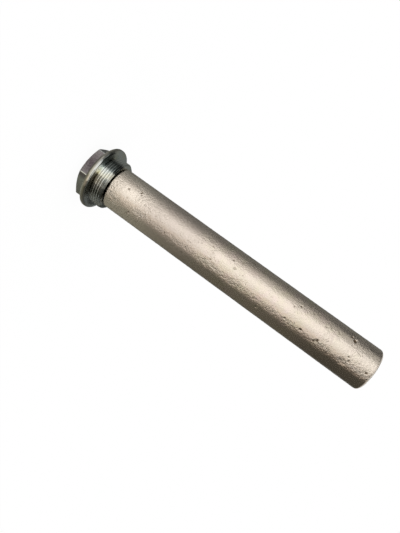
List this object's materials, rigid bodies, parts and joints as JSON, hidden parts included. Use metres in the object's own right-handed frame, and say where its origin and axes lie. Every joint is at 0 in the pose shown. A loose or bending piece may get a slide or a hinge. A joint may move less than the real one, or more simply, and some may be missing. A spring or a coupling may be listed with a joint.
{
  "type": "sacrificial anode",
  "caption": "Thick cast magnesium rod carried by a plated steel screw plug with a hexagon head, a round collar and a short fine thread.",
  "frame": {"origin": "centre of the head's outer face, on the axis; the anode stands on this face", "axes": "+Z along the axis from the plug's head to the rod's free end; two corners of the hexagon lie on X, two flats face +Y and -Y"},
  "size_m": [0.0384, 0.0384, 0.1881],
  "materials": {
    "plated_steel": "bright zinc plating, turned, slightly greenish",
    "bare_steel": "plain drawn steel",
    "magnesium": "cast magnesium skin, warm grey, satin, with small pits"
  },
  "bodies": {
    "root": {"plug": "plated_steel", "core_rod": "bare_steel", "anode_rod": "magnesium"}
  },
  "joints": []
}
